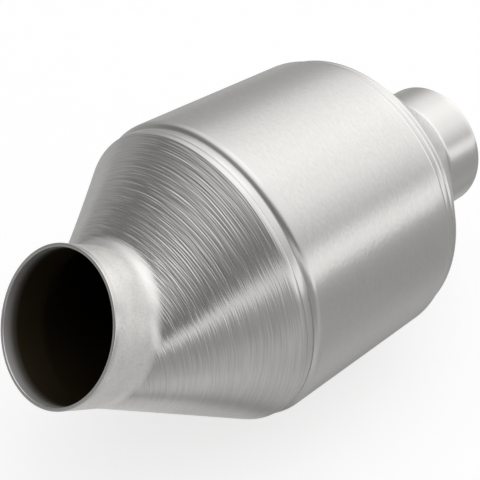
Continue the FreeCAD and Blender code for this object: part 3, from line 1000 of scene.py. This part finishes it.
def studio_world(stage):
    """White for the camera. For all else a light tent along the axis, whose level goes by the bearing
    about the axis, with other levels and a strip behind the camera and two panels beyond the outlet."""
    n = Nodes(bpy.data.worlds.new("studio"), "ShaderNodeOutputWorld")
    path = n.add("LightPath")
    towards = n.add("TexCoord")["Generated"]
    split = n.add("SeparateXYZ", {0: towards})
    bearing = n.math("DEGREES", n.math("ARCTAN2", split[1], split[2]))
    elevation = n.math("DEGREES", n.math("ARCSINE", split[2]))
    tent = n.levels(bearing, TENT_LEVELS)
    behind = n.levels(elevation, BEHIND_LEVELS)
    off_strip = n.math("ABSOLUTE", n.math("SUBTRACT", bearing, STRIP_BEARING))
    behind = n.varied(n.smooth(off_strip, *STRIP_EDGE), behind, STRIP_LEVEL)
    ahead = n.smooth(split[0], *AHEAD)
    level = n.add("Mix", {0: ahead, 2: behind, 3: tent}, data_type="FLOAT")[0]
    level = n.varied(round_panel(n, towards, *UPPER_PANEL), level, UPPER_LEVEL)
    wide = round_panel(n, towards, *LOWER_PANEL)
    level = n.add("Mix", {0: wide, 2: level, 3: LOWER_LEVEL}, data_type="FLOAT")[0]
    level = n.times(level, stage.tent_light)
    level = n.times(level, n.varied(path["Is Diffuse Ray"], 1.0, DIFFUSE_CHANGE))
    strength = n.math("MAXIMUM", level, path["Is Camera Ray"])
    background = n.add("Background", {"Color": (1, 1, 1, 1), "Strength": strength})[0]
    bpy.context.scene.world = n.finish(background)


def floor_material():
    """Pale floor with the object's shadow. Its own glow makes it nearly white to the camera, and sends
    reflections the floor's levels, a painted shadow and bounce light round the object."""
    n = Nodes(bpy.data.materials.new("pale_floor"))
    place = n.add("TexCoord")["Object"]
    speckle = n.add("TexNoise", {"Vector": place, "Scale": 60.0, "Detail": 2.0})["Fac"]
    shade = n.mottle(speckle, (1, 1, 1), FLOOR_GREYS)
    plain = n.add("BsdfDiffuse", {"Color": shade})[0]
    path = n.add("LightPath")
    split = n.add("SeparateXYZ", {0: place})
    # Painted shadow and bounce light round the object, glowing for reflections only
    painted_bounce = n.levels(n.math("ABSOLUTE", split[1]), FLOOR_LEVELS)
    painted_bounce = n.times(painted_bounce, n.levels(split[0], FLOOR_ALONG))
    seen = n.times(path["Is Camera Ray"], FLOOR_GLOW)
    seen = n.varied(path["Is Glossy Ray"], seen, painted_bounce)
    lift = n.add("Emission", {"Color": (1, 1, 1, 1), "Strength": seen})[0]
    return n.finish(n.add("AddShader", {0: plain, 1: lift})[0])


class Stage(PropertyGroup):
    """Floor, light and camera."""
    camera_azimuth: angle("Camera azimuth", 44.14, "Camera towards -X and -Y, from -X")
    camera_elevation: angle("Camera elevation", 33.97, "Camera above the horizon")
    camera_roll: angle("Camera roll", 0.47, "Camera about its own axis")
    camera_distance: length("Camera distance", 0.438, "Camera to the point it looks at")
    camera_lens: decimal("Lens", 77.54, "Focal length in millimetres", min=1.0)
    shift_x: decimal("Shift across", -0.0212, "Of the picture's width")
    shift_y: decimal("Shift up", 0.0120, "Of the picture's width")
    target_x: decimal("Looks at", -0.12506, "Point of the axis looked at", subtype="DISTANCE", unit="LENGTH")
    floor_size: length("Floor", 8.0, "Side of the square floor")
    tent_light: decimal("Tent light", 0.596, "Level of the light tent", min=0.0)
    lamp_power: decimal("Lamp", 0.8, "Power of the top lamp in watts", min=0.0)
    lamp_side: length("Lamp side", 0.9, "Side of the square top lamp")
    lamp_distance: length("Lamp distance", 1.5, "Top lamp to the point looked at")
    lamp_elevation: angle("Lamp elevation", 80.0, "Top lamp above the horizon")


class CONVERTER_OT_stage(Operator):
    """Pale floor, soft studio light and the camera"""
    bl_idname = "converter.stage"
    bl_label = "Stage"

    def execute(self, context):
        scene = context.scene
        stage = scene.converter_stage
        half = stage.floor_size / 2
        mesh = bpy.data.meshes.new("floor")
        level = SHELL_BOX[0].z
        mesh.from_pydata([(-half, -half, level), (half, -half, level), (half, half, level),
                          (-half, half, level)], [], [(0, 1, 2, 3)])
        floor = new_object("floor", mesh)
        mesh.materials.append(floor_material())

        aim = Vector((stage.target_x, 0, 0))
        softbox("top_softbox", stage, aim)
        studio_world(stage)

        turn, rise = stage.camera_azimuth, stage.camera_elevation
        back = Vector((-math.cos(turn) * math.cos(rise), -math.sin(turn) * math.cos(rise), math.sin(rise)))
        right = Vector((0, 0, 1)).cross(back).normalized()
        up = back.cross(right)
        roll = stage.camera_roll
        rolled_right = right * math.cos(roll) + up * math.sin(roll)
        rolled_up = up * math.cos(roll) - right * math.sin(roll)
        data = bpy.data.cameras.new("camera")
        data.lens = stage.camera_lens
        data.sensor_width = 36
        data.shift_x = stage.shift_x
        data.shift_y = stage.shift_y
        data.clip_start = 0.01
        camera = new_object("camera", data)
        facing = Matrix((rolled_right, rolled_up, back)).transposed().to_4x4()
        camera.matrix_world = Matrix.Translation(aim + back * stage.camera_distance) @ facing
        scene.camera = camera
        scene.view_settings.view_transform = "Standard"
        return {"FINISHED"}


class CONVERTER_PT_panel(Panel):
    """Sizes, finishes and pieces of the converter"""
    bl_idname = "CONVERTER_PT_panel"
    bl_label = "Catalytic converter"
    bl_space_type = "VIEW_3D"
    bl_region_type = "UI"
    bl_category = "Converter"

    def draw(self, context):
        for group in GROUPS:
            box = self.layout.box()
            settings = getattr(context.scene, group)
            for name in settings.bl_rna.properties.keys():
                if name not in ("rna_type", "name"):
                    box.prop(settings, name)
        for operator in OPERATORS:
            self.layout.operator(operator.bl_idname)


GROUPS = {
    "converter_shell": ShellSizes,
    "converter_steel": SteelFinish,
    "converter_brick": BrickSizes,
    "converter_packing": PackingSizes,
    "converter_stage": Stage,
}
OPERATORS = (
    CONVERTER_OT_shell,
    CONVERTER_OT_honeycomb,
    CONVERTER_OT_packing,
    CONVERTER_OT_stage,
)


def register():
    for name, group in GROUPS.items():
        bpy.utils.register_class(group)
        setattr(Scene, name, PointerProperty(type=group))
    for operator in OPERATORS:
        bpy.utils.register_class(operator)
    bpy.utils.register_class(CONVERTER_PT_panel)


def unregister():
    bpy.utils.unregister_class(CONVERTER_PT_panel)
    for operator in reversed(OPERATORS):
        bpy.utils.unregister_class(operator)
    for name, group in GROUPS.items():
        delattr(Scene, name)
        bpy.utils.unregister_class(group)


def main():
    register()
    bpy.ops.converter.shell()
    bpy.ops.converter.honeycomb()
    bpy.ops.converter.packing()
    bpy.ops.converter.stage()


if __name__ == "__main__":
    main()
